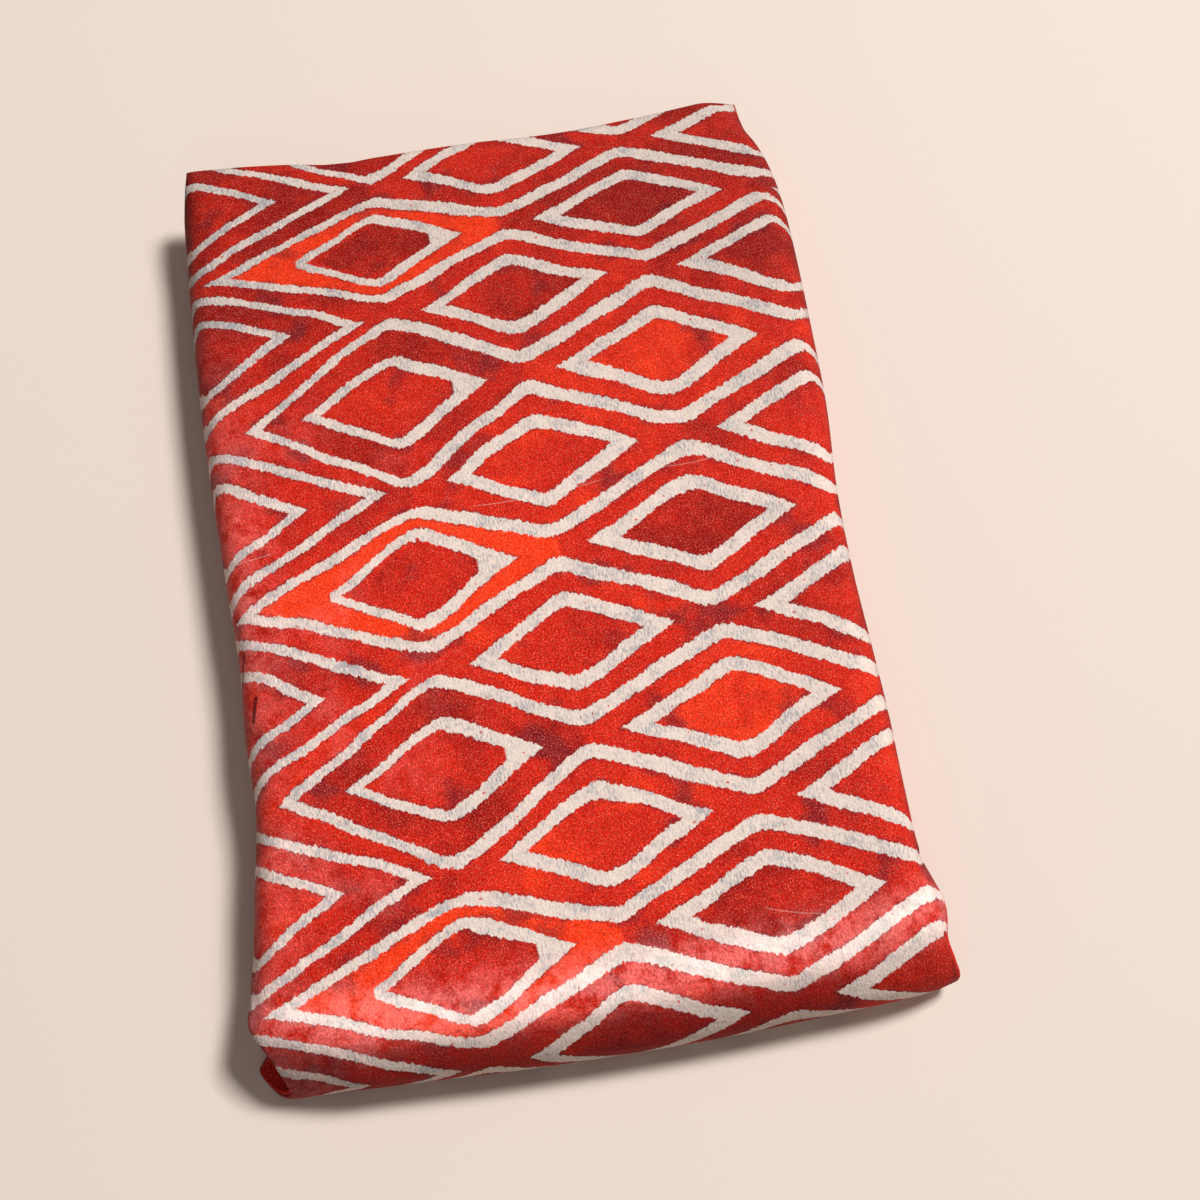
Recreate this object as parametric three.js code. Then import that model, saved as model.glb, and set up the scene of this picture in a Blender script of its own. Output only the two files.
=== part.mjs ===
// Folded cut length of printed velvet, in millimetres, +Z up.
// The cloth is folded in four over its width into a strip, and the strip goes back and forth
// in eight layers. The top layer turns down over the near end in one tall fold and goes on
// as the bottom layer. The other layers lie between them, with small folds at both ends.
// The origin is the middle of the underside. +X runs across the strip, +Y to the far end.
import * as THREE from "three";

const { lerp, clamp, smoothstep, degToRad } = THREE.MathUtils;

// The cloth
const clothWidth = 1120;
const pliesPerLayer = 4;
const plyThickness = 1.05; // with its pile
const layerCount = 8;
const layerGap = 0.95;

const stripWidth = clothWidth / pliesPerLayer;
const halfStrip = stripWidth / 2;
const layerThickness = pliesPerLayer * plyThickness;
const halfLayer = layerThickness / 2;
const layerPitch = layerThickness + layerGap;
const topLevel = layerCount - 1;

// The flat stack, before it settles into its lying outline
const stackLength = 444;
const halfLength = stackLength / 2;

// The top layer curls down over both sides of the stack.
const curlReach = 9; // across
const curlDrop = 2; // straight down after the bend
const leastCurl = 1; // degrees, for a side that lies flat
const edgeRoundness = 1.5; // how far a folded side edge stands out from its flat end

// Mesh density
const endCrowding = 0.75; // how much closer the stations lie at both ends of a run
const topRunSteps = 22;
const bottomRunSteps = 11;
const innerRunSteps = 11;
const tallFoldSteps = 16;
const smallFoldSteps = 4;
const flatColumns = [-1, -0.93, -0.83, -0.55, 0, 0.55, 0.83, 0.93, 1];
const bendColumns = [0.38, 0.72, 1];

// Where the sides of the bundle lie, from the near end to the far end
const sideOutline = [
  { y: -222, left: -140, right: 141 },
  { y: -209, left: -143, right: 140 },
  { y: -198, left: -145.5, right: 138.5 },
  { y: -188, left: -143.5, right: 139 },
  { y: -168, left: -142, right: 136 },
  { y: -140, left: -140, right: 136 },
  { y: -107, left: -137, right: 137 },
  { y: -75, left: -139, right: 137 },
  { y: -40, left: -139, right: 137 },
  { y: 0, left: -142, right: 139 },
  { y: 45, left: -145, right: 144 },
  { y: 85, left: -147, right: 146 },
  { y: 130, left: -148, right: 147.5 },
  { y: 160, left: -148, right: 147.5 },
  { y: 180, left: -147.5, right: 145.5 },
  { y: 195, left: -146.5, right: 141.5 },
  { y: 207, left: -145, right: 136 },
  { y: 222, left: -143.5, right: 135 },
];

// Where its ends lie, from left to right
const endOutline = [
  { x: -147, near: -210, far: 227 },
  { x: -138, near: -214, far: 227 },
  { x: -125, near: -216, far: 226 },
  { x: -110, near: -217, far: 225 },
  { x: -87, near: -218, far: 222.5 },
  { x: -65, near: -219, far: 219 },
  { x: -45, near: -220, far: 220 },
  { x: 0, near: -221, far: 221 },
  { x: 45, near: -221, far: 220 },
  { x: 88, near: -219.5, far: 223 },
  { x: 115, near: -218.5, far: 226 },
  { x: 130, near: -217, far: 228 },
  { x: 141, near: -214.5, far: 228 },
];

// The middle of the lying outline, which is the origin
const middle = { x: -0.46, y: 3.57 };

// Height of the top along the bundle, as a share of the full stack, and how much of that the
// rounded shoulders lose at the sides
const crown = [
  { y: -222, share: 0.93, shoulder: 0.16 },
  { y: -190, share: 0.965, shoulder: 0.2 },
  { y: -150, share: 0.99, shoulder: 0.2 },
  { y: -60, share: 1, shoulder: 0.2 },
  { y: 30, share: 0.985, shoulder: 0.2 },
  { y: 120, share: 1, shoulder: 0.2 },
  { y: 165, share: 0.995, shoulder: 0.16 },
  { y: 195, share: 0.99, shoulder: 0.08 },
  { y: 222, share: 0.97, shoulder: 0.03 },
];

// How far the top layer's sides curl down along its run, in degrees
const curls = [
  { y: -222, left: 0, right: 0 },
  { y: -200, left: 6, right: 20 },
  { y: -180, left: 40, right: 62 },
  { y: -150, left: 72, right: 86 },
  { y: 0, left: 78, right: 88 },
  { y: 150, left: 74, right: 88 },
  { y: 180, left: 66, right: 84 },
  { y: 200, left: 40, right: 66 },
  { y: 214, left: 12, right: 20 },
  { y: 222, left: 2, right: 6 },
];

// Half widths of the layers, from the bottom up
const layerEdges = [
  { level: 0, left: 139, right: 138 },
  { level: 1, left: 137.5, right: 139 },
  { level: 2, left: 139, right: 137 },
  { level: 3, left: 137, right: 138.5 },
  { level: 4, left: 138, right: 137 },
  { level: 5, left: 132.5, right: 133 },
  { level: 6, left: 129, right: 129.5 },
  { level: topLevel, left: halfStrip, right: halfStrip },
];

// The tall near fold stands open at its sides. On the way down its edges draw in and spread again,
// and stand back from its middle or forward of it.
const tallFoldEdges = [
  { turn: 0, left: 140, right: 139, leftBack: 0, rightBack: 0 },
  { turn: 0.12, left: 141, right: 141, leftBack: 2, rightBack: 0 },
  { turn: 0.19, left: 141, right: 141.5, leftBack: 3, rightBack: 1 },
  { turn: 0.28, left: 137.5, right: 138.5, leftBack: 5, rightBack: 2 },
  { turn: 0.4, left: 135, right: 140, leftBack: 5, rightBack: 2 },
  { turn: 0.55, left: 134.5, right: 142, leftBack: 2, rightBack: 0 },
  { turn: 0.7, left: 138, right: 140, leftBack: -3, rightBack: 0 },
  { turn: 0.85, left: 143.5, right: 139.5, leftBack: -7.5, rightBack: 0 },
  { turn: 0.93, left: 147, right: 139, leftBack: -8.5, rightBack: 0 },
  { turn: 1, left: 146, right: 138, leftBack: -7, rightBack: 0 },
];
const backWidth = 34; // how far in from a side the tall fold stands back

// The tall fold: along the bundle, where it leaves the top layer, pulls round and meets the bottom
// layer, and above the floor, where it is nearest. halfway is the share of its stations above that.
const tallFold = {
  start: -170,
  shoulder: -203,
  nearest: 15,
  ball: 5.5,
  foot: -213.5,
  end: -202,
  halfway: 0.55,
};

// The small folds that the strip passes after the tall one, each from one level to the next.
// reach is where its outside lies along the bundle.
const smallFolds = [
  { from: 0, to: 1, reach: 219.5 },
  { from: 1, to: 2, reach: -204.5 },
  { from: 2, to: 3, reach: 216.5 },
  { from: 3, to: 4, reach: -207 },
  { from: 4, to: 5, reach: 214.5 },
  { from: 5, to: 6, reach: -186 },
];
const innerEnd = 208; // the inner cut end, under the top layer
const overhang = { start: 209, drop: 1.8 }; // the outer cut end dips over the inner folds

// The far right corner of the stack is turned down beyond this line.
const turnedCorner = {
  from: new THREE.Vector2(116, 224),
  to: new THREE.Vector2(139, 200),
  width: 14,
  share: 0.12,
};

// The rounded shoulders of the stack, and the slow waves of its top
const shoulder = { width: 24, roundness: 0.96 };
const waves = [
  { across: 78, along: 190, phase: 0.6, share: 0.009 },
  { across: -120, along: 96, phase: 2.1, share: 0.007 },
];

// A smooth reading of a table between its rows, by the rise and fall of the neighbouring rows
function read(table, key, at, column) {
  let i = 0;
  while (i < table.length - 2 && at > table[i + 1][key]) i++;
  const a = table[i];
  const b = table[i + 1];
  const before = table[Math.max(i - 1, 0)];
  const after = table[Math.min(i + 2, table.length - 1)];
  const span = b[key] - a[key];
  const t = clamp((at - a[key]) / span, 0, 1);
  const slopeA = ((b[column] - before[column]) / (b[key] - before[key])) * span;
  const slopeB = ((after[column] - a[column]) / (after[key] - a[key])) * span;
  const rise = b[column] - a[column];
  return (
    a[column] +
    t * (slopeA + t * (3 * rise - 2 * slopeA - slopeB + t * (slopeA + slopeB - 2 * rise)))
  );
}

const levelHeight = (level) => level * layerPitch + halfLayer;

// One station of the strip's path in the plane of its section: the middle of the layer, the
// way it is heading, its two edges and curls, and how far its edges stand back
function station(y, z, heading, edges, curl = { left: 0, right: 0 }) {
  const outward = heading.clone().normalize().rotateAround(new THREE.Vector2(), -Math.PI / 2);
  return { y, z, outward, curl, leftBack: 0, rightBack: 0, ...edges };
}

function edgesAt(level) {
  return {
    left: read(layerEdges, "level", level, "left"),
    right: read(layerEdges, "level", level, "right"),
  };
}

function curlAt(y) {
  return { left: read(curls, "y", y, "left"), right: read(curls, "y", y, "right") };
}

// Steps from 0 to 1 that lie closer together at both ends, where the bundle bends most
function closerAtEnds(i, steps) {
  const even = i / steps;
  return lerp(even, (1 - Math.cos(Math.PI * even)) / 2, endCrowding);
}

// A straight run of one layer, without its last station
function* run(level, fromY, toY, steps) {
  const heading = new THREE.Vector2(Math.sign(toY - fromY), 0);
  for (let i = 0; i < steps; i++) {
    const y = lerp(fromY, toY, closerAtEnds(i, steps));
    yield station(y, levelHeight(level), heading, edgesAt(level));
  }
}

// The top layer from its cut end, which dips over the folds beneath it
function* topRun() {
  const heading = new THREE.Vector2(-1, 0);
  for (let i = 0; i < topRunSteps; i++) {
    const y = lerp(halfLength, tallFold.start, closerAtEnds(i, topRunSteps));
    const dip = overhang.drop * smoothstep(y, overhang.start, halfLength);
    yield station(y, levelHeight(topLevel) - dip, heading, edgesAt(topLevel), curlAt(y));
  }
}

// The tall fold: two curves that meet where it is nearest
function* tallTurn() {
  const top = levelHeight(topLevel);
  const face = halfLayer - halfLength;
  const point = (y, z) => new THREE.Vector2(y, z);
  const upper = new THREE.CubicBezierCurve(
    point(tallFold.start, top),
    point(tallFold.shoulder, top),
    point(face, top - tallFold.ball),
    point(face, tallFold.nearest),
  );
  const lower = new THREE.CubicBezierCurve(
    point(face, tallFold.nearest),
    point(face, tallFold.ball),
    point(tallFold.foot, halfLayer),
    point(tallFold.end, halfLayer),
  );
  for (let i = 0; i < tallFoldSteps; i++) {
    const turn = i / tallFoldSteps;
    const { halfway } = tallFold;
    const isUpper = turn < halfway;
    const curve = isUpper ? upper : lower;
    const t = isUpper ? turn / halfway : (turn - halfway) / (1 - halfway);
    const at = curve.getPoint(t);
    const edges = {
      left: read(tallFoldEdges, "turn", turn, "left"),
      right: read(tallFoldEdges, "turn", turn, "right"),
      leftBack: read(tallFoldEdges, "turn", turn, "leftBack"),
      rightBack: read(tallFoldEdges, "turn", turn, "rightBack"),
    };
    yield station(at.x, at.y, curve.getTangent(t), edges, curlAt(at.x));
  }
}

// A small fold, a half circle from one layer up to the next
function* smallTurn(fold) {
  const side = Math.sign(fold.reach);
  const radius = layerPitch / 2;
  const centreY = fold.reach - side * (radius + halfLayer);
  const centreZ = (levelHeight(fold.from) + levelHeight(fold.to)) / 2;
  for (let i = 0; i < smallFoldSteps; i++) {
    const angle = Math.PI * (i / smallFoldSteps - 0.5);
    const heading = new THREE.Vector2(-side * Math.sin(angle), Math.cos(angle));
    const y = centreY + side * radius * Math.cos(angle);
    const z = centreZ + radius * Math.sin(angle);
    yield station(y, z, heading, edgesAt(lerp(fold.from, fold.to, i / smallFoldSteps)));
  }
}

function buildPath() {
  const path = [...topRun(), ...tallTurn()];
  let y = tallFold.end;
  for (const fold of smallFolds) {
    const stop = fold.reach - Math.sign(fold.reach) * (layerPitch / 2 + halfLayer);
    path.push(...run(fold.from, y, stop, fold.from === 0 ? bottomRunSteps : innerRunSteps));
    path.push(...smallTurn(fold));
    y = stop;
  }
  const last = smallFolds.at(-1).to;
  path.push(...run(last, y, innerEnd, innerRunSteps));
  path.push(station(innerEnd, levelHeight(last), new THREE.Vector2(1, 0), edgesAt(last)));
  return path;
}

// A place in the strip's section: side -1 or 1, bend from 0 to 1 along the curl, and the
// distance off from the middle of the layer
function place(at, across, side, bend, off, beyond = 0) {
  const edge = side < 0 ? at.left : at.right;
  const sweep = degToRad(Math.max(side < 0 ? at.curl.left : at.curl.right, leastCurl));
  const radius = curlReach / Math.sin(sweep);
  const angle = bend * sweep;
  const straight = beyond + (bend === 1 ? curlDrop * Math.sin(sweep) : 0);
  const flat = edge - curlReach - halfLayer * Math.sin(sweep) - edgeRoundness * Math.cos(sweep);
  const x = side * (flat * across + radius * Math.sin(angle) + straight * Math.cos(angle));
  const fall = radius * (1 - Math.cos(angle)) + straight * Math.sin(angle);
  const outX = side * off * Math.sin(angle);
  const out = off * Math.cos(angle) - fall;
  const inFromEdge = edge - Math.abs(x + outX);
  const back = (side < 0 ? at.leftBack : at.rightBack) * (1 - smoothstep(inFromEdge, 0, backWidth));
  return new THREE.Vector3(x + outX, at.y + at.outward.x * out + back, at.z + at.outward.y * out);
}

// The closed ring around the layer at one station: outer face, right edge, inner face, left edge
function ring(at) {
  const face = (off) => [
    ...bendColumns.toReversed().map((bend) => place(at, 1, -1, bend, off)),
    ...flatColumns.map((across) => place(at, Math.abs(across), Math.sign(across), 0, off)),
    ...bendColumns.map((bend) => place(at, 1, 1, bend, off)),
  ];
  return [
    ...face(halfLayer),
    place(at, 1, 1, 1, 0, edgeRoundness),
    ...face(-halfLayer).toReversed(),
    place(at, 1, -1, 1, 0, edgeRoundness),
  ];
}

// Lays a point of the flat stack into the outline, crown and shoulders of the lying bundle
function settle(p) {
  const across = (p.x + halfStrip) / stripWidth;
  const along = (p.y + halfLength) / stackLength;
  const left = read(sideOutline, "y", p.y, "left");
  const right = read(sideOutline, "y", p.y, "right");
  const near = read(endOutline, "x", p.x, "near");
  const far = read(endOutline, "x", p.x, "far");
  let share = read(crown, "y", p.y, "share");
  for (const wave of waves)
    share += wave.share * Math.sin(p.x / wave.across + p.y / wave.along + wave.phase);
  const out = clamp((Math.abs(p.x) - halfStrip + shoulder.width) / shoulder.width, 0, 1);
  const loss = read(crown, "y", p.y, "shoulder");
  share -= loss * (1 - Math.sqrt(1 - shoulder.roundness * out ** 2));
  const line = turnedCorner.to.clone().sub(turnedCorner.from).normalize();
  const beyond = new THREE.Vector2(p.x, p.y).sub(turnedCorner.from).cross(line);
  share -= turnedCorner.share * smoothstep(-beyond, 0, turnedCorner.width);
  const x = lerp(left, right, across) - middle.x;
  return new THREE.Vector3(x, lerp(near, far, along) - middle.y, p.z * share);
}

// Skins the rings of all stations into one closed sheet with its two cut ends
function sheetGeometry(path) {
  const rings = path.map((at) => ring(at).map(settle));
  const size = rings[0].length;
  const index = [];
  const quad = (a, b, c, d) => index.push(a, b, c, a, c, d);
  for (let r = 0; r < rings.length - 1; r++)
    for (let i = 0; i < size; i++) {
      const j = (i + 1) % size;
      quad(r * size + i, (r + 1) * size + i, (r + 1) * size + j, r * size + j);
    }
  const columns = (size - 2) / 2;
  const capEnd = (first, facing) => {
    const cap = (a, b, c) =>
      index.push(first + a, first + (facing ? b : c), first + (facing ? c : b));
    for (let i = 0; i < columns - 1; i++) {
      const under = size - 2 - i;
      cap(i, i + 1, under - 1);
      cap(i, under - 1, under);
    }
    cap(columns - 1, columns, columns + 1);
    cap(0, size - 2, size - 1);
  };
  capEnd(0, true);
  capEnd((rings.length - 1) * size, false);
  const geometry = new THREE.BufferGeometry();
  geometry.setFromPoints(rings.flat());
  geometry.setIndex(index);
  geometry.computeVertexNormals();
  return geometry;
}

const velvet = new THREE.MeshStandardMaterial({ color: 0xb4211f, roughness: 0.85, metalness: 0 });

const cloth = new THREE.Mesh(sheetGeometry(buildPath()), velvet);
cloth.name = "folded_velvet";

const bundle = new THREE.Group();
bundle.add(cloth);

export default bundle;
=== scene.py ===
import functools
import math

import bpy
import numpy as np
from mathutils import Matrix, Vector


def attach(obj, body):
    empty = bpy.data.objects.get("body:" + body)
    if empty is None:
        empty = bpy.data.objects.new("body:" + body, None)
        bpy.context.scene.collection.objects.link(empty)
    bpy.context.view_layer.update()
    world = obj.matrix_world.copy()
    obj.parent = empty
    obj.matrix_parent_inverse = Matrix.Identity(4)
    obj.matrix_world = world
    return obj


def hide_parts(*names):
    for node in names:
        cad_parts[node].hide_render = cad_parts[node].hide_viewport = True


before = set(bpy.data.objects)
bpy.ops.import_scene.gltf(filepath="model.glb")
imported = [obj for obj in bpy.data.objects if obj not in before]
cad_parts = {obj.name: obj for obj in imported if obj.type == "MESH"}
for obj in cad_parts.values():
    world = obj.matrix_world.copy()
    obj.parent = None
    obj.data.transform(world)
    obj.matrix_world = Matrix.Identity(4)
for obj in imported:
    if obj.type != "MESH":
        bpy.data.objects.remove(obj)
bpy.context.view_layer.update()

# Sizes are in millimetres, in the frame's axes: +X across the strip, +Y to the far end, +Z up.
mm = 0.001

# The camera stands over the near end and looks down the bundle, a little to its right.
camera = {
    "place": (-18.4, -279.0, 646.7),
    "turn": 9.452,  # degrees, as the next
    "down": 68.0,
    "lens": 45.0,
    "film": 36.0,
    "nearest": 10.0,
}


def addCamera():
    turn, down = math.radians(camera["turn"]), math.radians(camera["down"])
    look = Vector((math.sin(turn) * math.cos(down), math.cos(turn) * math.cos(down), -math.sin(down)))
    data = bpy.data.cameras.new("camera")
    data.lens = camera["lens"]
    data.sensor_width = camera["film"]
    data.clip_start = camera["nearest"] * mm
    eye = bpy.data.objects.new("camera", data)
    eye.location = Vector(camera["place"]) * mm
    eye.rotation_euler = look.to_track_quat("-Z", "Y").to_euler()
    bpy.context.scene.collection.objects.link(eye)
    bpy.context.scene.camera = eye


addCamera()
print("camera placed")

# The cloth: folded in four over its width into a strip, then back and forth in eight layers
cloth = {
    "width": 1120.0,
    "length": 3390.0,
    "thickness": 0.8,  # one ply without the nap that stands off it
    "plyPitch": 1.05,
    "plies": 4,
    "layers": 8,
    "layerGap": 0.95,
    "stackLength": 444.0,
    "curlReach": 9.0,  # how far the top layer's sides bend over, across
    "curlDrop": 2.0,  # and hang straight below the bend
    "leastCurl": 1.0,  # degrees, for a side that lies flat
    "edgeRoundness": 1.5,
    "foldStart": -0.5,  # where the strip's side folds begin, past its flat part
    "selvedge": {"outer": 1.1, "inner": 0.2},  # how far the two selvedges stand out at the left
}
strip = cloth["width"] / cloth["plies"]
halfStrip = strip / 2
layerThickness = cloth["plies"] * cloth["plyPitch"]
halfLayer = layerThickness / 2
layerPitch = layerThickness + cloth["layerGap"]
halfLength = cloth["stackLength"] / 2
topLevel = cloth["layers"] - 1

# Where the sides of the bundle lie, from the near end to the far end
sides = {
    "y": [-222, -209, -198, -188, -168, -140, -107, -75, -40, 0, 45, 85, 130, 160, 180, 195, 207, 222],
    "left": [-140, -143, -145.5, -143.5, -142, -140, -137, -139, -139, -142, -145, -147]
    + [-148, -148, -147.5, -146.5, -145, -143.5],
    "right": [141, 140, 138.5, 139, 136, 136, 137, 137, 137, 139, 144, 146]
    + [147.5, 147.5, 145.5, 141.5, 136, 135],
}
# Where its ends lie, from left to right
ends = {
    "x": [-147, -138, -125, -110, -87, -65, -45, 0, 45, 88, 115, 130, 141],
    "near": [-210, -214, -216, -217, -218, -219, -220, -221, -221, -219.5, -218.5, -217, -214.5],
    "far": [227, 227, 226, 225, 222.5, 219, 220, 221, 220, 223, 226, 228, 228],
}
middle = {"x": -0.46, "y": 3.57}  # of the lying outline, moved to the origin
# Height of the top along the bundle, as a share of the full stack, and what the rounded shoulders lose
crown = {
    "y": [-222, -190, -150, -60, 30, 120, 165, 195, 222],
    "share": [0.93, 0.965, 0.99, 1, 0.985, 1, 0.995, 0.99, 0.97],
    "shoulder": [0.16, 0.2, 0.2, 0.2, 0.2, 0.2, 0.16, 0.08, 0.03],
}
# How far the top layer's sides curl down, in degrees
curls = {
    "y": [-222, -200, -180, -150, 0, 150, 180, 200, 214, 222],
    "left": [0, 6, 40, 72, 78, 74, 66, 40, 12, 2],
    "right": [0, 20, 62, 86, 88, 88, 84, 66, 20, 6],
}
# Half widths of the layers, from the bottom up
layerEdges = {
    "level": [0, 1, 2, 3, 4, 5, 6, topLevel],
    "left": [139, 137.5, 139, 137, 138, 132.5, 129, halfStrip],
    "right": [138, 139, 137, 138.5, 137, 133, 129.5, halfStrip],
}
# The tall near fold stands open at its sides, and its edges stand back from its middle or forward of it.
tallEdges = {
    "turn": [0, 0.12, 0.19, 0.28, 0.4, 0.55, 0.7, 0.85, 0.93, 1],
    "left": [140, 141, 141, 137.5, 135, 134.5, 138, 143.5, 147, 146],
    "right": [139, 141, 141.5, 138.5, 140, 142, 140, 139.5, 139, 138],
    "leftBack": [0, 2, 3, 5, 5, 2, -3, -7.5, -8.5, -7],
    "rightBack": [0, 0, 1, 2, 2, 0, 0, 0, 0, 0],
}
backWidth = 34.0  # how far in from a side the tall fold stands back
tallFold = {
    "start": -170.0,
    "shoulder": -203.0,
    "nearest": 15.0,
    "ball": 5.5,
    "foot": -213.5,
    "end": -202.0,
    "halfway": 0.55,
}
smallFolds = {"reach": [219.5, -204.5, 216.5, -207, 214.5, -186]}  # outside of each, from the bottom up
innerEnd = 208.0
overhang = {"start": 209.0, "drop": 1.8}
turnedCorner = {"from": (116.0, 224.0), "to": (139.0, 200.0), "width": 14.0, "share": 0.12}
shoulder = {"width": 24.0, "roundness": 0.96}
waves = {"across": [78, -120], "along": [190, 96], "phase": [0.6, 2.1], "share": [0.009, 0.007]}

# How fine the sheet's mesh is
grain = {
    "topRows": 140,
    "tallRows": 30,
    "runRows": 11,
    "runEasing": 0.6,  # how much closer they lie near the folds
    "foldRows": 7,
    "outerColumns": 37,  # on each side of the middle of the outer ply
    "innerColumns": 5,
    "bendColumns": 6,
    "outerFold": 5,
    "innerFold": 3,
}


def read(table, key, at, column):  # a smooth reading of a table between its rows
    at = np.asarray(at, float)
    rows = np.array(table[key], float)
    values = np.array(table[column], float)
    i = np.clip(np.searchsorted(rows, at) - 1, 0, len(rows) - 2)
    before, after = np.maximum(i - 1, 0), np.minimum(i + 2, len(rows) - 1)
    span = rows[i + 1] - rows[i]
    t = np.clip((at - rows[i]) / span, 0, 1)
    slopeA = (values[i + 1] - values[before]) / (rows[i + 1] - rows[before]) * span
    slopeB = (values[after] - values[i]) / (rows[after] - rows[i]) * span
    rise = values[i + 1] - values[i]
    return values[i] + t * (slopeA + t * (3 * rise - 2 * slopeA - slopeB + t * (slopeA + slopeB - 2 * rise)))


def pick(table, names):
    return (table[name] for name in names.split())


def smoothStep(value, low, high):
    t = np.clip((value - low) / (high - low), 0, 1)
    return t * t * (3 - 2 * t)


def levelHeight(level):
    return level * layerPitch + halfLayer


def edgesAt(level):
    return [float(read(layerEdges, "level", level, side)) for side in ("left", "right")]


def curlAt(y):
    return [float(read(curls, "y", y, side)) for side in ("left", "right")]


def bezier(points, t):
    a, b, c, d = (np.array(p, float) for p in points)
    place = (1 - t) ** 3 * a + 3 * (1 - t) ** 2 * t * b + 3 * (1 - t) * t**2 * c + t**3 * d
    tangent = (1 - t) ** 2 * (b - a) + 2 * (1 - t) * t * (c - b) + t**2 * (d - c)
    return place, tangent


def buildPath():  # the strip's path in the plane of its section, a row for each station
    names = "y z outY outZ left right curlLeft curlRight top leftBack rightBack"
    rows = {name: [] for name in names.split()}

    def add(y, z, heading, edges, curl=(0, 0), top=0.0, back=(0, 0)):
        length = math.hypot(*heading)
        values = (y, z, heading[1] / length, -heading[0] / length, *edges, *curl, top, *back)
        for name, value in zip(rows, values):
            rows[name].append(value)

    def run(level, fromY, toY, steps):
        for i in range(steps):
            even, eased = i / steps, (1 - math.cos(math.pi * i / steps)) / 2
            y = fromY + (toY - fromY) * (even + (eased - even) * grain["runEasing"])
            add(y, levelHeight(level), (math.copysign(1, toY - fromY), 0), edgesAt(level))

    for i in range(grain["topRows"]):
        y = halfLength + (tallFold["start"] - halfLength) * i / grain["topRows"]
        dip = overhang["drop"] * smoothStep(y, overhang["start"], halfLength)
        add(y, levelHeight(topLevel) - dip, (-1, 0), edgesAt(topLevel), curlAt(y), 1.0)

    top, face = levelHeight(topLevel), halfLayer - halfLength
    upper = [(tallFold["start"], top), (tallFold["shoulder"], top), (face, top - tallFold["ball"])]
    lower = [(face, tallFold["ball"]), (tallFold["foot"], halfLayer), (tallFold["end"], halfLayer)]
    nearest = (face, tallFold["nearest"])
    for i in range(grain["tallRows"]):
        turn, half = i / grain["tallRows"], tallFold["halfway"]
        isUpper = turn < half
        points = [*upper, nearest] if isUpper else [nearest, *lower]
        at, heading = bezier(points, turn / half if isUpper else (turn - half) / (1 - half))
        edges = [float(read(tallEdges, "turn", turn, side)) for side in ("left", "right")]
        back = [float(read(tallEdges, "turn", turn, side)) for side in ("leftBack", "rightBack")]
        add(at[0], at[1], heading, edges, curlAt(at[0]), 1.0 - turn, back)

    y = tallFold["end"]
    for level, reach in enumerate(smallFolds["reach"]):
        side, radius = math.copysign(1, reach), layerPitch / 2
        stop = reach - side * (radius + halfLayer)
        run(level, y, stop, grain["runRows"])
        for i in range(grain["foldRows"]):
            share = i / grain["foldRows"]
            angle = math.pi * (share - 0.5)
            y, z = stop + side * radius * math.cos(angle), radius * math.sin(angle)
            heading = (-side * math.sin(angle), math.cos(angle))
            add(y, levelHeight(level + 0.5) + z, heading, edgesAt(level + share))
        y = stop
    run(topLevel - 1, y, innerEnd, grain["runRows"])
    add(innerEnd, levelHeight(topLevel - 1), (1, 0), edgesAt(topLevel - 1))
    return {name: np.array(values, float)[:, None] for name, values in rows.items()}


def buildColumns():  # the strip's section from one selvedge to the other, round its three folds
    columns = {name: [] for name in ("side", "across", "bend", "beyond", "off", "outer")}

    def add(side, across, bend, beyond, off, outer=0.0):
        for name, value in zip(columns, (side, across, bend, beyond, off, outer)):
            columns[name].append(value)

    def ply(off, count, direction, outer=0.0):
        half = [(i / count, 0.0) for i in range(count)]
        half += [(1.0, i / grain["bendColumns"]) for i in range(grain["bendColumns"] + 1)]
        for across, bend in reversed(half):
            add(-direction, across, bend, cloth["foldStart"] * (bend == 1), off, outer)
        for across, bend in half[1:]:
            add(direction, across, bend, cloth["foldStart"] * (bend == 1), off, outer)

    def fold(side, middle, radius, count):  # a half circle from the ply above the middle to the one below
        for i in range(1, count + 1):
            angle = math.pi * i / (count + 1)
            beyond = cloth["foldStart"] + abs(radius) * math.sin(angle)
            add(side, 1.0, 1.0, beyond, middle + radius * math.cos(angle))

    # the plies lie these two distances above and below the strip's own middle
    outer, inner = 1.5 * cloth["plyPitch"], 0.5 * cloth["plyPitch"]
    add(-1, 1.0, 1.0, cloth["selvedge"]["outer"], outer, 1.0)
    ply(outer, grain["outerColumns"], 1, 1.0)
    fold(1, 0.0, outer, grain["outerFold"])
    ply(-outer, grain["innerColumns"], -1)
    fold(-1, -2 * inner, -inner, grain["innerFold"])
    ply(-inner, grain["innerColumns"], 1)
    fold(1, 0.0, -inner, grain["innerFold"])
    ply(inner, grain["innerColumns"], -1)
    add(-1, 1.0, 1.0, cloth["selvedge"]["inner"], inner)
    return {name: np.array(values, float)[None, :] for name, values in columns.items()}


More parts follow.
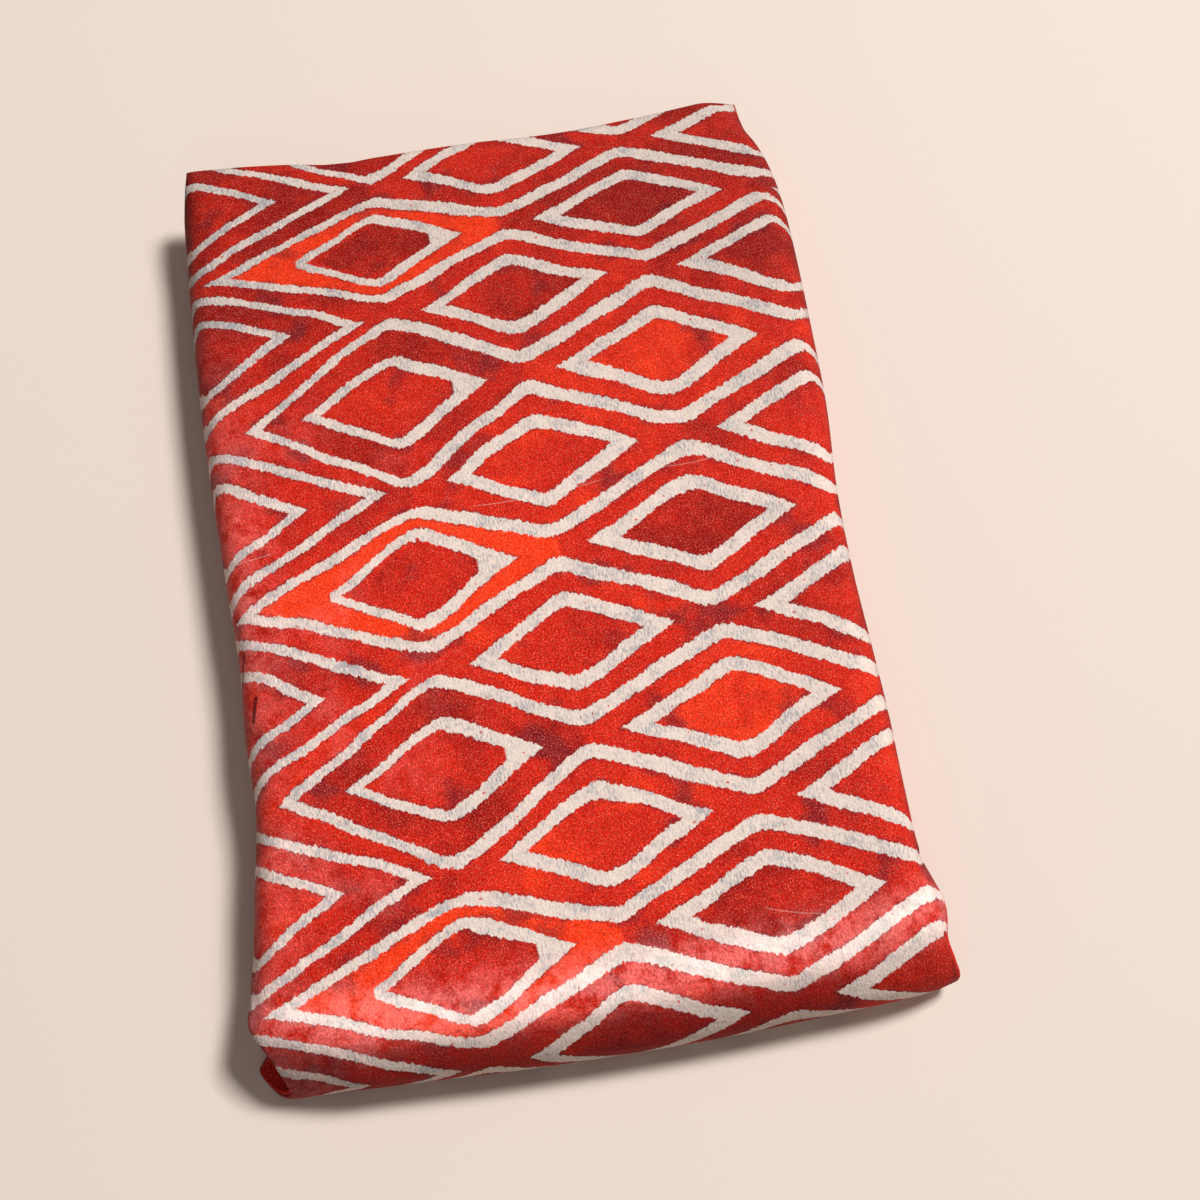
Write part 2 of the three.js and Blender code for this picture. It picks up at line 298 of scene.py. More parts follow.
def place(path, columns):  # every point of the flat stack, as x, y and z over stations and columns
    isLeft = columns["side"] < 0
    edge = np.where(isLeft, path["left"], path["right"])
    curl = np.where(isLeft, path["curlLeft"], path["curlRight"])
    sweep = np.radians(np.maximum(curl, cloth["leastCurl"]))
    radius = cloth["curlReach"] / np.sin(sweep)
    angle = columns["bend"] * sweep
    straight = columns["beyond"] + (columns["bend"] == 1) * cloth["curlDrop"] * np.sin(sweep)
    flat = edge - cloth["curlReach"] - halfLayer * np.sin(sweep) - cloth["edgeRoundness"] * np.cos(sweep)
    reach = flat * columns["across"] + radius * np.sin(angle) + straight * np.cos(angle)
    fall = radius * (1 - np.cos(angle)) + straight * np.sin(angle)
    fromMiddle = reach + columns["off"] * np.sin(angle)
    out = columns["off"] * np.cos(angle) - fall
    back = np.where(isLeft, path["leftBack"], path["rightBack"])
    y = path["y"] + path["outY"] * out + back * smoothStep(fromMiddle, edge - backWidth, edge)
    return columns["side"] * fromMiddle, y, path["z"] + path["outZ"] * out


def settle(x, y, z):  # lays the flat stack into the outline, crown and shoulders of the bundle
    across = (x + halfStrip) / strip
    along = (y + halfLength) / cloth["stackLength"]
    left, right = read(sides, "y", y, "left"), read(sides, "y", y, "right")
    near, far = read(ends, "x", x, "near"), read(ends, "x", x, "far")
    share = read(crown, "y", y, "share")
    for width, length, phase, part in zip(*waves.values()):
        share = share + part * np.sin(x / width + y / length + phase)
    out = np.clip((np.abs(x) - halfStrip + shoulder["width"]) / shoulder["width"], 0, 1)
    share -= read(crown, "y", y, "shoulder") * (1 - np.sqrt(1 - shoulder["roundness"] * out**2))
    start, stop = np.array(turnedCorner["from"]), np.array(turnedCorner["to"])
    line = (stop - start) / np.linalg.norm(stop - start)
    beyond = (x - start[0]) * line[1] - (y - start[1]) * line[0]
    share -= turnedCorner["share"] * smoothStep(-beyond, 0, turnedCorner["width"])
    return left + (right - left) * across, near + (far - near) * along, z * share


# The print: nested diamonds in columns along the cloth, with zigzag lines between them.
# Places are on the cloth itself, in millimetres from the middle of the top layer.
printLayout = {
    "columns": [-145.0, -54.0, 6.0, 71.0, 136.0],  # the gaps between them repeat
    "rows": [-218.0, -136.0, -51.0, 39.0, 129.5, 207.0],  # middles of the diamonds of column 0
    "firstColumn": -2,
    "firstRow": -3,
    "repeat": 4,  # columns, and their gaps
    "spare": 4,  # columns and rows past the cloth's own
    "rowPitch": 87.0,
    "ringHeight": 23.0,  # half of it
    "peak": 0.408,  # where the zigzags cross their own column, in rows from a diamond's middle
    "swing": 0.052,  # more for the tall diamonds of column -1 and less for its low ones
    "sharpness": 0.982,  # of the tops, up to 1
    "blunt": {"right": 0.13, "left": 0.09},  # the ends of column -1: the cores' right and the low rings' left
    "closed": {"even": 0.474, "oddLow": 0.395, "oddTall": 0.6},  # the zigzags' slopes in the first gap
}
# The gaps after columns -2 to 1: how far the rings of even and odd columns reach in, and their lines' width
printGaps = {"even": [44, 46, 47.5, 50.5], "odd": [43.5, 43, 52, 46.5], "line": [4.7, 6.5, 6.9, 7.0]}
# How far the rows rise from the middle column, over the cloth's width
lean = {"x": [-164, -145, -54, 6, 71, 136, 156], "rise": [-11, -9.8, -4.7, 0, 2.4, 3.2, 3.3]}
# Tones from -1, dark crimson, to 1, bright orange red, by column and by odd or even row
toneChart = {
    "column": [-2, -2, -1, -1, 0, 0, 1, 1],
    "row": [0, 1, 0, 1, 0, 1, 0, 1],
    "core": [0.0, -0.4, 0.05, -0.2, 0.3, -0.15, 0.75, -0.75],
    "coreLean": [0.0, 0.0, -0.5, -0.2, -0.4, -0.4, 0.0, 0.0],  # added at its right, taken off at its left
    "band": [-0.2, -0.3, -0.5, 1.5, 0.3, 0.2, 0.3, 0.0],
    "crossing": [-0.3, 0.2, 0.3, -0.2, -0.3, 0.8, -0.5, 0.7],
}
# Where one tone gives way to the next, as shares of a ring's reach and of a row
toneEdges = {"core": (0.75, 0.95), "crossing": 0.02, "fade": 22.0, "fadeWithin": (-0.3, 0.6)}
tipStain = {"share": 0.86, "across": 9.0, "along": 7.5}  # the dye is darker at the diamonds' right tips
paintedFarShade = {"loss": 0.6, "along": (70.0, 210.0)}  # painted shade: the reds are darker towards the far end


def columnNumber(u):  # the print's column at a place across the cloth
    gaps = np.diff(printLayout["columns"])
    count = int(cloth["width"] / gaps.min()) + printLayout["spare"]
    places = printLayout["columns"][0] + np.concatenate([[0], np.cumsum(np.resize(gaps, count))])
    before = places[0] - gaps[-1]
    return np.interp(u, [before, *places], np.arange(-1, count + 1) + printLayout["firstColumn"])


def rowNumber(v):  # the print's row at a place along the cloth
    rows, pitch = printLayout["rows"], printLayout["rowPitch"]
    count = int(cloth["length"] / pitch) + printLayout["spare"]
    below = rows[0] - pitch * np.arange(count, 0, -1)
    above = rows[-1] + pitch * np.arange(1, 3)
    places = [*below, *rows, *above]
    return np.interp(v, places, np.arange(len(places)) - count + printLayout["firstRow"])


def nearestDiamond(p, q, odd):  # distance in columns and rows from the nearest diamond, odd or even columns
    column = 2 * np.round((p - odd) / 2) + odd
    row = np.round(q - odd / 2) + odd / 2
    return p - column, q - row, column, row


def inRepeat(column):
    return np.mod(np.floor(column) - printLayout["firstColumn"], printLayout["repeat"]).astype(int)


def chartAt(column, row, name):
    chart = np.zeros((printLayout["repeat"], 2))
    chart[inRepeat(toneChart["column"]), toneChart["row"]] = toneChart[name]
    return chart[inRepeat(column), np.mod(np.floor(row), 2).astype(int)]


def paintPrint(u, v):
    p, q = columnNumber(u), rowNumber(v - read(lean, "x", u, "rise"))
    inGap = inRepeat(p)
    gap = np.diff(printLayout["columns"])[inGap]
    reaches = [gap / np.array(printGaps[name], float)[inGap] for name in ("even", "odd")]
    line = np.array(printGaps["line"])[inGap]
    pitch, height, peak, closed = pick(printLayout, "rowPitch ringHeight peak closed")
    isTall, isClosed, isSwung = np.mod(np.floor(q), 2) == 0, inGap == 0, inGap < 2
    oddPeak = peak + printLayout["swing"] * np.where(isTall, 1, -1) * isSwung
    openSlope = oddPeak + peak - 0.5
    closedOdd = np.where(isTall, closed["oddTall"], closed["oddLow"])
    slopes = [np.where(isClosed, slope, openSlope) for slope in (closed["even"], closedOdd)]
    peaks = [peak, oddPeak]
    tone, weights, tips = np.zeros_like(p), np.zeros_like(p), np.zeros_like(p)
    for odd in (0, 1):
        dp, dq, column, row = nearestDiamond(p, q, odd)
        ring = np.abs(dp) * reaches[odd] + np.abs(dq) * pitch / height
        past = np.abs(dq) - peaks[odd] + slopes[odd] * np.abs(dp)
        core = chartAt(column, row, "core") + chartAt(column, row, "coreLean") * dp * 2
        band, crossing = chartAt(column, row, "band"), chartAt(column, row, "crossing")
        here = core + (band - core) * smoothStep(ring, *toneEdges["core"])
        here += (crossing - here) * smoothStep(past, -toneEdges["crossing"], toneEdges["crossing"])
        weight = np.exp(-toneEdges["fade"] * np.clip(past, *toneEdges["fadeWithin"]))
        tone += weight * here
        weights += weight
        fromTip = (dp - tipStain["share"] / reaches[odd]) * gap / tipStain["across"]
        tips += np.exp(-(fromTip**2) - (dq * pitch / tipStain["along"]) ** 2)
    # painted shade: the tone drops towards the far end
    tone = tone / weights - paintedFarShade["loss"] * smoothStep(v, *paintedFarShade["along"])
    floats = {"gap": gap, "evenReach": reaches[0], "oddReach": reaches[1]}
    floats |= {"line": line, "tone": tone, "tips": tips}
    return p, q, floats


# Painted sheen and painted shade on the outer ply of the top: a painted highlight along the crest of the near
# fold and on the left shoulder, and painted shade below the crest and along both sides
paintedCrestSheen = {
    "x": [-150, -115, -50, 0, 57, 100, 130, 150],
    "crest": [-183, -190, -195, -194.5, -194, -193, -187, -184],
    "bright": [0.5, 1.0, 0.85, 0.9, 0.9, 0.9, 0.8, 0.5],
}
paintedShoulderSheen = {
    "y": [-200, -150, -110, -60, -20, 30, 80, 130, 180],
    "bright": [0.26, 0.3, 0.2, 0.38, 0.5, 0.38, 0.3, 0.1, 0.0],
}
paintedSheenAndShadeWidths = {
    "crest": 9.5,
    "shoulder": 20.0,
    "face": (6.65, 14.65),  # how far below the crest the painted shade begins and is full
    "lobe": {"x": (75.0, 115.0), "loss": 0.75},  # less painted shade at the right
    "rim": {"width": (0.5, 5.5), "shade": 0.8},  # painted shade along both sides
}


def paintSheenAndShade(x, y, outer):
    crest, lobe, rim = read(paintedCrestSheen, "x", x, "crest"), paintedSheenAndShadeWidths["lobe"], paintedSheenAndShadeWidths["rim"]
    # painted highlight along the crest of the near fold
    bright = read(paintedCrestSheen, "x", x, "bright") * np.exp(-(((y - crest) / paintedSheenAndShadeWidths["crest"]) ** 2))
    # painted shade on the near face below the crest
    shade = smoothStep(crest - y, *paintedSheenAndShadeWidths["face"]) * (1 - lobe["loss"] * smoothStep(x, *lobe["x"]))
    fromLeft, fromRight = x - read(sides, "y", y, "left"), read(sides, "y", y, "right") - x
    fromSide = np.minimum(fromLeft, fromRight)
    # painted shade along both sides of the top
    shade = np.maximum(shade, rim["shade"] * (1 - smoothStep(fromSide, *rim["width"])))
    # painted sheen on the left shoulder
    side = read(paintedShoulderSheen, "y", y, "bright") * np.exp(-((fromLeft / paintedSheenAndShadeWidths["shoulder"]) ** 2))
    return outer * np.maximum(bright, side), outer * shade


def arcLengths(points, axis):
    steps = np.linalg.norm(np.diff(points, axis=axis), axis=2)
    zero = np.zeros_like(np.take(steps, [0], axis=axis))
    return np.concatenate([zero, np.cumsum(steps, axis=axis)], axis=axis)


def addFloats(mesh, name, values):
    attribute = mesh.attributes.new(name, "FLOAT", "POINT")
    attribute.data.foreach_set("value", values.astype(np.float32).ravel())


def addUvMap(mesh, name, across, along, corners):
    layer = mesh.uv_layers.new(name=name)
    layer.data.foreach_set("uv", np.stack([across.ravel()[corners], along.ravel()[corners]], 1).ravel())


def unroll(points, x, y, columns, topRows):  # places on the cloth, from the middle of the top layer
    across, along = arcLengths(points, 1), arcLengths(points, 0)
    isOuter, fromCentre = columns["outer"][0] > 0, columns["across"][0] + columns["bend"][0]
    centre = int(np.argmin(np.where(isOuter, fromCentre, np.inf)))
    u = across - across[:, [centre]] + x[:, [centre]]
    backwards = [(y[topRows, c][::-1], along[topRows, c][::-1]) for c in range(x.shape[1])]
    zero = np.array([np.interp(0, *pair) for pair in backwards])
    return u, zero[None, :] - along


def buildSheet():
    path, columns = buildPath(), buildColumns()
    x, y, z = settle(*place(path, columns))
    points = np.stack([x - middle["x"], y - middle["y"], z], axis=2)
    u, v = unroll(points, x, y, columns, path["top"][:, 0] == 1)

    mesh = bpy.data.meshes.new("velvetCloth")
    index = np.arange(x.size).reshape(x.shape)
    faces = np.stack([index[:-1, :-1], index[1:, :-1], index[1:, 1:], index[:-1, 1:]], 2).reshape(-1, 4)
    mesh.from_pydata((points.reshape(-1, 3) * mm).tolist(), [], faces.tolist())
    p, q, floats = paintPrint(u, v)
    # the painted sheen and the painted shade, kept on the points
    floats["bright"], floats["shade"] = paintSheenAndShade(x, y, columns["outer"] * (path["top"] > 0))
    floats["printed"] = columns["outer"] + 0 * y  # the inner plies stay plain
    corners = faces.ravel()
    addUvMap(mesh, "cloth", (u + halfStrip) * mm, (v - v.min()) * mm, corners)
    addUvMap(mesh, "print", p, q, corners)
    for name, values in floats.items():
        addFloats(mesh, name, values)
    mesh.update()
    piece = bpy.data.objects.new("velvetCloth", mesh)
    bpy.context.scene.collection.objects.link(piece)
    return piece, float(v.min())


def finishSheet(piece):
    bpy.ops.object.select_all(action="DESELECT")
    piece.select_set(True)
    bpy.context.view_layer.objects.active = piece
    wall = piece.modifiers.new("thickness", "SOLIDIFY")
    wall.thickness = cloth["thickness"] * mm
    wall.offset = 0
    bpy.ops.object.modifier_apply(modifier="thickness")
    bpy.ops.object.shade_smooth()


velvetCloth, clothStart = buildSheet()
finishSheet(velvetCloth)
print("cloth laid", len(velvetCloth.data.polygons), "faces")


class Wire:  # one socket of a material; arithmetic on it adds Math nodes
    def __init__(self, tree, socket):
        self.tree = tree
        self.socket = socket

    def add(self, kind, settings, sockets, output=0):
        node = self.tree.nodes.new(kind)
        for name, value in settings.items():
            setattr(node, name, value)
        for name, value in sockets.items():
            if isinstance(value, Wire):
                self.tree.links.new(value.socket, node.inputs[name])
            else:
                node.inputs[name].default_value = value
        return Wire(self.tree, node.outputs[output])

    def math(self, operation, *others):
        values = {i: other for i, other in enumerate((self, *others))}
        return self.add("ShaderNodeMath", {"operation": operation}, values)

    def flipped(self, operation, other):
        return self.add("ShaderNodeMath", {"operation": operation}, {0: other, 1: self})

    def __add__(self, other):
        return self.math("ADD", other)

    def __radd__(self, other):
        return self.flipped("ADD", other)

    def __sub__(self, other):
        return self.math("SUBTRACT", other)

    def __rsub__(self, other):
        return self.flipped("SUBTRACT", other)

    def __mul__(self, other):
        return self.math("MULTIPLY", other)

    def __rmul__(self, other):
        return self.flipped("MULTIPLY", other)

    def __truediv__(self, other):
        return self.math("DIVIDE", other)

    def __abs__(self):
        return self.math("ABSOLUTE")

    def zigzag(self, sharpness):  # 1 at even numbers and -1 at odd ones, with rounded tops
        wave = (self * math.pi).math("COSINE") * sharpness
        return wave.math("ARCSINE") / math.asin(sharpness)

    def least(self, other):
        return self.math("MINIMUM", other)

    def most(self, other):
        return self.math("MAXIMUM", other)

    def ramp(self, low, high):  # smoothly from 0 to 1
        sockets = {"Value": self, "From Min": low, "From Max": high}
        return self.add("ShaderNodeMapRange", {"interpolation_type": "SMOOTHSTEP"}, sockets)

    def mixed(self, first, second, blend="MIX"):  # two colours by this factor
        settings = {"data_type": "RGBA", "blend_type": blend}
        return self.add("ShaderNodeMix", settings, {0: self, 6: first, 7: second}, 2)

    def noise(self, size, detail=2.0, stretch=1.0, roughness=0.5, output=0):  # size in millimetres
        places = {0: self, 1: (1.0, stretch, 1.0)}
        spread = self.add("ShaderNodeVectorMath", {"operation": "MULTIPLY"}, places)
        sockets = {"Vector": spread, "Scale": 1 / (size * mm), "Detail": detail, "Roughness": roughness}
        return self.add("ShaderNodeTexNoise", {"noise_dimensions": "2D"}, sockets, output)

    def part(self, index):
        return self.add("ShaderNodeSeparateXYZ", {}, {0: self}, index)

    def attribute(self, name):
        return self.add("ShaderNodeAttribute", {"attribute_name": name}, {}, 2)

    def uvMap(self, name):
        return self.add("ShaderNodeUVMap", {"uv_map": name}, {})


def tint(red, green, blue):  # a colour as seen, 0 to 255, for a shader
    seen = np.array([red, green, blue]) / 255
    linear = np.where(seen <= 0.04045, seen / 12.92, ((seen + 0.055) / 1.055) ** 2.4)
    return (*linear.tolist(), 1.0)


# How the printed lines wander and end in teeth, in millimetres
lineEdges = {
    "wobble": {"size": 30.0, "reach": 4.2},
    "teeth": {"across": 1.9, "along": 6.0, "reach": 2.3},
    "fray": {"size": 0.8, "reach": 0.8},
    "soft": 0.3,
}


def wanderOnPrint(onCloth):  # the column and row numbers, a little off where a line wanders or is torn
    wobble, teeth, fray = pick(lineEdges, "wobble teeth fray")
    drift = onCloth.noise(wobble["size"], detail=1.0, output=1)
    across = (drift.part(0) - 0.5) * wobble["reach"]
    along = (drift.part(1) - 0.5) * wobble["reach"]
    bite = onCloth.noise(teeth["across"], detail=1.0, stretch=teeth["across"] / teeth["along"])
    along += (bite - 0.5) * teeth["reach"] + (onCloth.noise(fray["size"], detail=0.0) - 0.5) * fray["reach"]
    onPrint = onCloth.uvMap("print")
    p = onPrint.part(0) + across / onCloth.attribute("gap")
    return p, onPrint.part(1) + along / printLayout["rowPitch"]


def drawLines(onCloth):  # how far inside a printed line, in millimetres, and below 0 outside
    p, q = wanderOnPrint(onCloth)
    pitch, height, peak = pick(printLayout, "rowPitch ringHeight peak")
    closed, blunt, repeat = pick(printLayout, "closed blunt repeat")

    # folded into one quarter of the repeat: how far from an even column, and from a whole row
    fromEven = 0.5 - p.zigzag(printLayout["sharpness"]) * 0.5
    fromRow = abs((q + 0.5).math("FRACT") - 0.5)
    ofRepeat = ((p - printLayout["firstColumn"]) / repeat).math("FRACT")
    isClosed, isSwung = (ofRepeat.math("LESS_THAN", gaps / repeat) for gaps in (1, 2))
    isTall = (q * 0.5).math("FRACT").math("LESS_THAN", 0.5)
    oddPeak = peak + (isTall * 2 - 1) * isSwung * printLayout["swing"]
    openSlope = oddPeak + (peak - 0.5)
    closedOdd = isTall * (closed["oddTall"] - closed["oddLow"]) + closed["oddLow"]
    evenSlope = openSlope + isClosed * (closed["even"] - openSlope)
    oddSlope = openSlope + isClosed * (closedOdd - openSlope)
    isBluntRight, isBluntLeft = isSwung - isClosed, isClosed * (1 - isTall)
    halfLine = onCloth.attribute("line") * 0.5
    halfBand = halfLine / height
    even = (fromEven, fromRow, onCloth.attribute("evenReach"), evenSlope, peak)
    odd = (1 - fromEven, 0.5 - fromRow, onCloth.attribute("oddReach"), oddSlope, oddPeak)
    drawn = []
    for across, along, wide, slope, top in (even, odd):
        beside = across * wide
        reach = beside + along * (pitch / height)
        inner, outer = reach, reach
        if top is oddPeak:
            inner = reach.most((beside + blunt["right"]) * isBluntRight)
            outer = reach.most((beside + blunt["left"]) * isBluntLeft)
        onRing = (inner - (1 - halfBand * 2)).least(1 - outer) * height
        onZigzag = halfLine - abs(along - top + slope * across) * pitch
        drawn.append(onRing.most(onZigzag))
    return drawn[0].most(drawn[1])


reds = {
    "crimson": tint(154, 2, 0),
    "red": tint(208, 25, 2),
    "orange": tint(250, 53, 4),
    "maroon": tint(88, 12, 32),
    # the colour of the painted glints
    "paintedGlint": tint(255, 152, 126),
    "toRed": (-0.1, 0.5),
    "toOrange": (0.5, 1.1),
    "tone": {"middle": 0.45, "share": 0.5},
    "patches": {"size": 26.0, "share": 1.15},
    "blots": {"size": 24.0, "byLine": 0.06, "atTip": 0.16, "from": (0.6, 0.8), "strength": 0.6},
    "rims": {"size": 9.0, "from": (0.38, 0.6), "strength": 0.6},  # darker against a line
    # painted glints: pale pink specks in the pile where fibres would catch the light
    "sparkle": {"size": 0.6, "from": (0.5, 0.8), "strength": 0.75},
    "nearLine": {"blots": (-5.0, -0.2), "rims": (-1.5, -0.2)},  # millimetres from a line
}


def mixReds(onCloth, lines, clumps):
    tone, patches, blots, rims, sparkle = pick(reds, "tone patches blots rims sparkle")
    uneven = (onCloth.noise(patches["size"], detail=3.0, roughness=0.6) - 0.5) * patches["share"]
    depth = onCloth.attribute("tone") * tone["share"] + tone["middle"] + uneven
    colour = depth.ramp(*reds["toRed"]).mixed(reds["crimson"], reds["red"])
    colour = depth.ramp(*reds["toOrange"]).mixed(colour, reds["orange"])
    byLine = lines.ramp(*reds["nearLine"]["blots"]) * blots["byLine"]
    atTip = onCloth.attribute("tips") * blots["atTip"]
    isBlot = (onCloth.noise(blots["size"]) + byLine + atTip).ramp(*blots["from"]) * blots["strength"]
    isRim = lines.ramp(*reds["nearLine"]["rims"]) * rims["strength"]
    isRim = isRim * onCloth.noise(rims["size"], detail=1.0).ramp(*rims["from"])
    colour = isBlot.most(isRim).mixed(colour, reds["maroon"])
    # painted glints in the pile
    isSparkle = onCloth.noise(sparkle["size"], detail=1.0).ramp(*sparkle["from"])
    return (isSparkle * clumps * sparkle["strength"]).mixed(colour, reds["paintedGlint"])


creams = {
    "cream": tint(235, 214, 201),
    # painted sheen: the cream's colour under it
    "white": tint(239, 229, 219),
    "greyBlue": tint(150, 154, 162),
    "toWhite": (0.2, 0.8),  # painted sheen: the cream turns whiter where the sheen is painted
    "streaks": {"size": 0.8, "stretch": 0.3, "from": (0.46, 0.8), "strength": 0.75, "lostOnPaintedSheen": 0.5},
    "smudges": {"size": 14.0, "share": 0.6},
    "leftSide": {"u": (-140.0, -50.0), "share": 0.12},  # greyer there
    "spots": {"size": 2.4, "from": (0.87, 0.9), "strength": 0.7},  # of red dye
}


def mixCreams(onCloth, u):
    streaks, smudges, leftSide, spots = pick(creams, "streaks smudges leftSide spots")
    bright = onCloth.attribute("bright")
    grey = onCloth.noise(streaks["size"], stretch=streaks["stretch"], roughness=0.6)
    grey += (onCloth.noise(smudges["size"]) - 0.5) * smudges["share"]
    grey += (1 - u.ramp(*leftSide["u"])) * leftSide["share"]
    # painted sheen: the cream is less grey and whiter where the sheen is painted
    isGrey = grey.ramp(*streaks["from"]) * streaks["strength"] * (1 - bright * streaks["lostOnPaintedSheen"])
    colour = bright.ramp(*creams["toWhite"]).mixed(creams["cream"], creams["white"])
    colour = isGrey.mixed(colour, creams["greyBlue"])
    isSpot = onCloth.noise(spots["size"], detail=0.0).ramp(*spots["from"]) * spots["strength"]
    return isSpot.mixed(colour, reds["red"])


paintedSheenAndShadeLooks = {
    "paintedGleam": tint(152, 101, 99),  # painted sheen colour, added where the sheen is painted
    # painted shade colour, below the crest, along the sides and in the creases
    "paintedShade": tint(58, 0, 8),
    # noise that breaks the painted sheen and the painted shade into streaks
    "worn": {"size": 10.0, "from": (0.25, 0.65), "paintedGleam": 1.45, "leastPaintedShade": 0.45, "morePaintedShade": 0.5},
    "duskShare": {"red": 0.9, "cream": 0.4},
    # painted sheen in soft patches, towards the left and the near end
    "haze": {"size": 34.0, "from": (0.5, 0.72), "strength": 0.22, "u": (-110.0, -20.0), "v": (30.0, 110.0)},
}


# Adds the painted sheen and the painted shade to the cloth's colour
def addPaintedSheenAndShade(onCloth, u, v, colour, isCream):
    worn, haze, share = pick(paintedSheenAndShadeLooks, "worn haze duskShare")
    mottle = onCloth.noise(worn["size"], detail=3.0, roughness=0.7)
    inSheenPatch = onCloth.noise(haze["size"], detail=1.0).ramp(*haze["from"]) * haze["strength"]
    inSheenPatch = inSheenPatch * (1 - u.ramp(*haze["u"])) * (1 - v.ramp(*haze["v"])) * onCloth.attribute("printed")
    bright = (onCloth.attribute("bright") + inSheenPatch) * mottle.ramp(*worn["from"]) * worn["paintedGleam"]
    paintedShade = onCloth.attribute("shade") * (mottle * worn["morePaintedShade"] + worn["leastPaintedShade"])
    duskShare = share["red"] - isCream * (share["red"] - share["cream"])
    colour = (paintedShade * duskShare).mixed(colour, paintedSheenAndShadeLooks["paintedShade"])
    return bright.mixed(colour, paintedSheenAndShadeLooks["paintedGleam"], "ADD")


# Fine marks on the top, in millimetres from its middle: pale hairlines, and small creases at the left,
# darkened with painted shade
marks = {
    "from": [(-31.0, 20.6), (59.0, 26.0), (-137.0, 10.6), (64.0, -176.0), (-135.7, -30.4), (-130.9, -52.0)],
    "to": [(35.7, 24.7), (87.0, 27.5), (-117.3, 12.5), (90.0, -183.0), (-140.3, -45.9), (-134.0, -65.1)],
    "width": [0.35, 0.3, 0.4, 0.3, 1.3, 1.5],
    "isCrease": [0, 0, 0, 0, 1, 1],
}
markShape = {"bow": 0.12, "core": 0.3, "taper": 0.15, "hairline": 0.28, "paintedCreaseShade": 0.7, "creaseDepth": 3.0}


def drawMarks(u, v):
    drawn = {0: [], 1: []}
    for start, stop, width, isCrease in zip(*marks.values()):
        length = math.dist(start, stop)
        line = [(b - a) / length for a, b in zip(start, stop)]
        fromStart, fromLine = u - start[0], v - start[1]
        along = (fromStart * line[0] + fromLine * line[1]) / length
        bow = along * (along - 1) * (length * markShape["bow"])
        off = abs(fromStart * line[1] - fromLine * line[0] + bow)
        ends = along.ramp(0.0, markShape["taper"]) * (1 - along.ramp(1.0 - markShape["taper"], 1.0))
        drawn[isCrease].append((1 - off.ramp(width * markShape["core"], width)) * ends)
    return [functools.reduce(Wire.most, found) for found in drawn.values()]


velvet = {
    "roughness": 0.75,
    "specular": 0.12,
    "sheen": {"weight": 0.05, "roughness": 0.3, "tint": tint(255, 180, 150)},
    "pile": {"size": 1.0, "stretch": 0.75, "onRed": 1.7, "onCream": 0.5},  # its grain
    "clumps": {"size": 5.0, "share": 0.3, "height": 1.5},
    "light": {"near": 1.05, "farLoss": 0.15, "v": (0.0, 160.0), "rightLoss": 0.05, "u": (30.0, 120.0)},
    "bump": {"strength": 0.6, "depth": 0.5},  # of the pile, the clumps and the creases
}


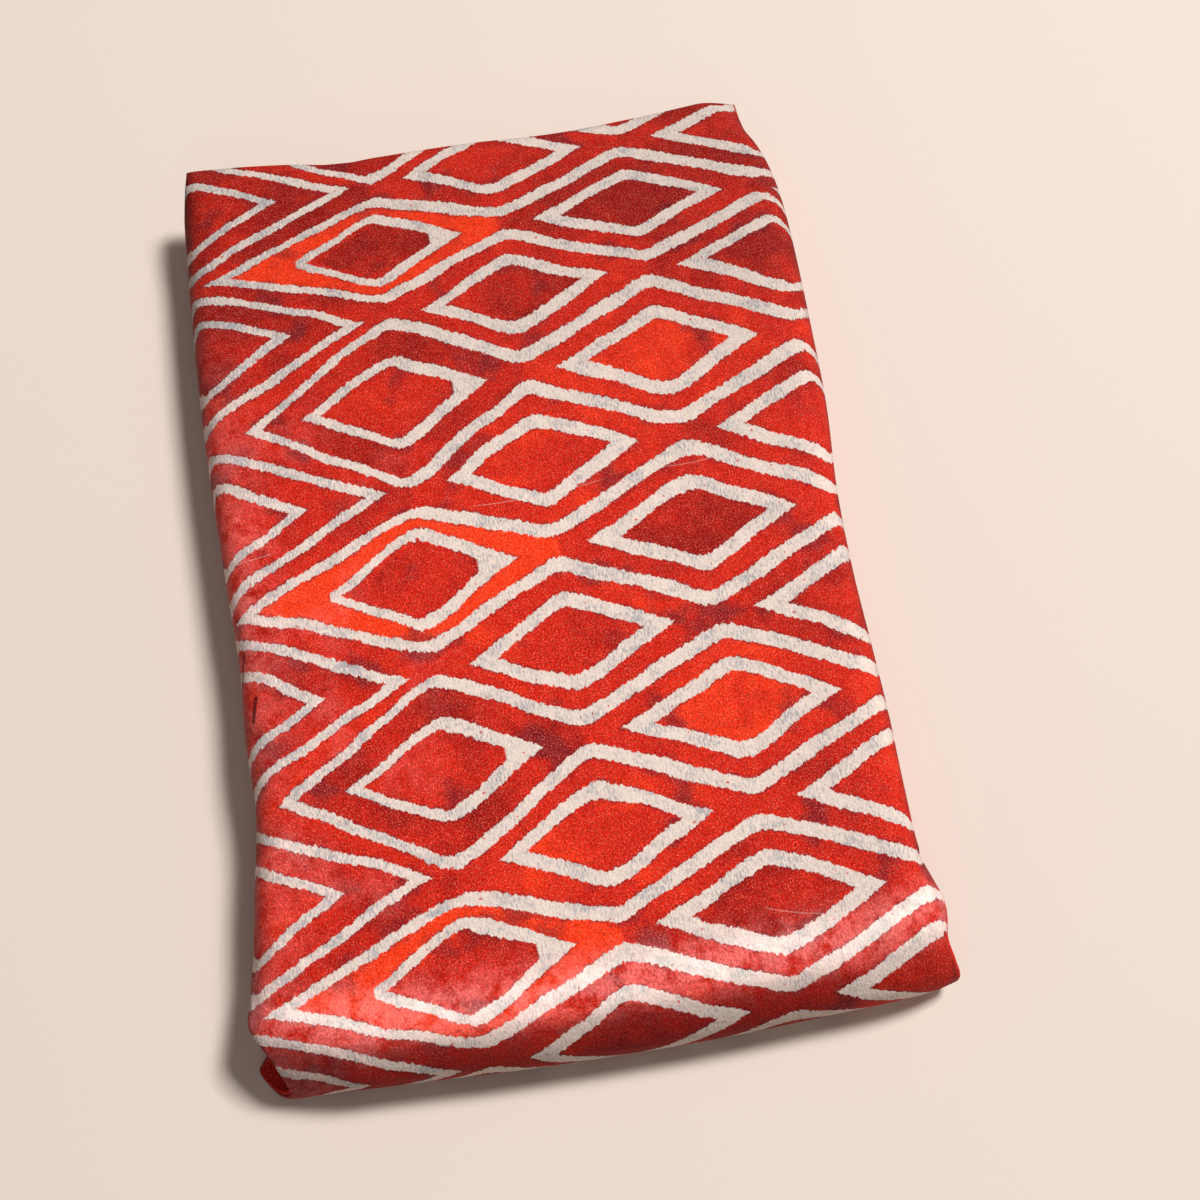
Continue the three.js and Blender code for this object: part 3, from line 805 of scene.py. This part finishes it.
def velvetMaterial():
    material = bpy.data.materials.new("velvet")
    material.use_nodes = True
    tree = material.node_tree
    shader = tree.nodes["Principled BSDF"]
    onCloth = Wire(tree, None).uvMap("cloth")
    u, v = onCloth.part(0) / mm - halfStrip, onCloth.part(1) / mm + clothStart
    pile, clumps, light, bump = pick(velvet, "pile clumps light bump")
    fibres = onCloth.noise(pile["size"], stretch=pile["stretch"], roughness=0.75)
    tufts = onCloth.noise(clumps["size"], detail=3.0, roughness=0.6)

    lines = drawLines(onCloth)
    isPrinted = onCloth.attribute("printed").ramp(0.4, 0.6)
    isCream = lines.ramp(-lineEdges["soft"], lineEdges["soft"]) * isPrinted
    colour = isCream.mixed(mixReds(onCloth, lines, tufts), mixCreams(onCloth, u))
    colour = addPaintedSheenAndShade(onCloth, u, v, colour, isCream)
    hairlines, creases = drawMarks(u, v)
    colour = (hairlines * markShape["hairline"]).mixed(colour, creams["cream"])
    # painted shade in the creases
    colour = (creases * markShape["paintedCreaseShade"]).mixed(colour, paintedSheenAndShadeLooks["paintedShade"])

    contrast = pile["onRed"] - isCream * (pile["onRed"] - pile["onCream"])
    shade = 1 + (fibres - 0.5) * contrast + (tufts - 0.5) * clumps["share"]
    # painted shade: the cloth darker towards the far end and towards the right
    farther, righter = v.ramp(*light["v"]) * light["farLoss"], u.ramp(*light["u"]) * light["rightLoss"]
    shade = shade * (light["near"] - farther - righter)
    grey = onCloth.add("ShaderNodeCombineXYZ", {}, {0: shade, 1: shade, 2: shade})
    colour = onCloth.add("ShaderNodeVectorMath", {"operation": "MULTIPLY"}, {0: colour, 1: grey})
    tree.links.new(colour.socket, shader.inputs["Base Color"])

    height = fibres + tufts * clumps["height"] - creases * markShape["creaseDepth"]
    sockets = {"Strength": bump["strength"], "Distance": bump["depth"] * mm, "Height": height}
    tree.links.new(onCloth.add("ShaderNodeBump", {}, sockets).socket, shader.inputs["Normal"])
    shader.inputs["Roughness"].default_value = velvet["roughness"]
    shader.inputs["Specular IOR Level"].default_value = velvet["specular"]
    for name, value in velvet["sheen"].items():
        shader.inputs["Sheen " + name.title()].default_value = value
    return material


velvetCloth.data.materials.append(velvetMaterial())
print("velvet printed")

# The floor and the light; the lamps' power is in watts
room = {
    "floor": tint(236, 219, 206),
    "floorSize": 12.0,  # metres
    "floorRoughness": 0.8,
    "sky": (1.0, 0.95, 0.91),
    "skyStrength": 0.14,
    "lamps": {
        "key": {"place": (3400, 1900, 5500), "size": 1520, "power": 470},  # at the far right
        "front": {"place": (-100, -2300, 2000), "size": 1400, "power": 5},
    },
}


def addFloor():
    bpy.ops.object.select_all(action="DESELECT")
    bpy.ops.mesh.primitive_plane_add(size=room["floorSize"])
    floor = bpy.context.active_object
    floor.name = "floor"
    material = bpy.data.materials.new("floor")
    material.use_nodes = True
    shader = material.node_tree.nodes["Principled BSDF"]
    shader.inputs["Base Color"].default_value = room["floor"]
    shader.inputs["Roughness"].default_value = room["floorRoughness"]
    floor.data.materials.append(material)
    return floor


def addLight():
    world = bpy.data.worlds.new("studio")
    world.use_nodes = True
    sky = world.node_tree.nodes["Background"]
    sky.inputs["Color"].default_value = (*room["sky"], 1.0)
    sky.inputs["Strength"].default_value = room["skyStrength"]
    bpy.context.scene.world = world
    for name, lamp in room["lamps"].items():
        data = bpy.data.lights.new(name, "AREA")
        data.size = lamp["size"] * mm
        data.energy = lamp["power"]
        light = bpy.data.objects.new(name, data)
        light.location = Vector(lamp["place"]) * mm
        light.rotation_euler = (-Vector(lamp["place"])).to_track_quat("-Z", "Y").to_euler()
        bpy.context.scene.collection.objects.link(light)
    bpy.context.scene.view_settings.view_transform = "Standard"


floor = addFloor()
addLight()
print("floor and light set")

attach(velvetCloth, "root")
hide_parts("folded_velvet")
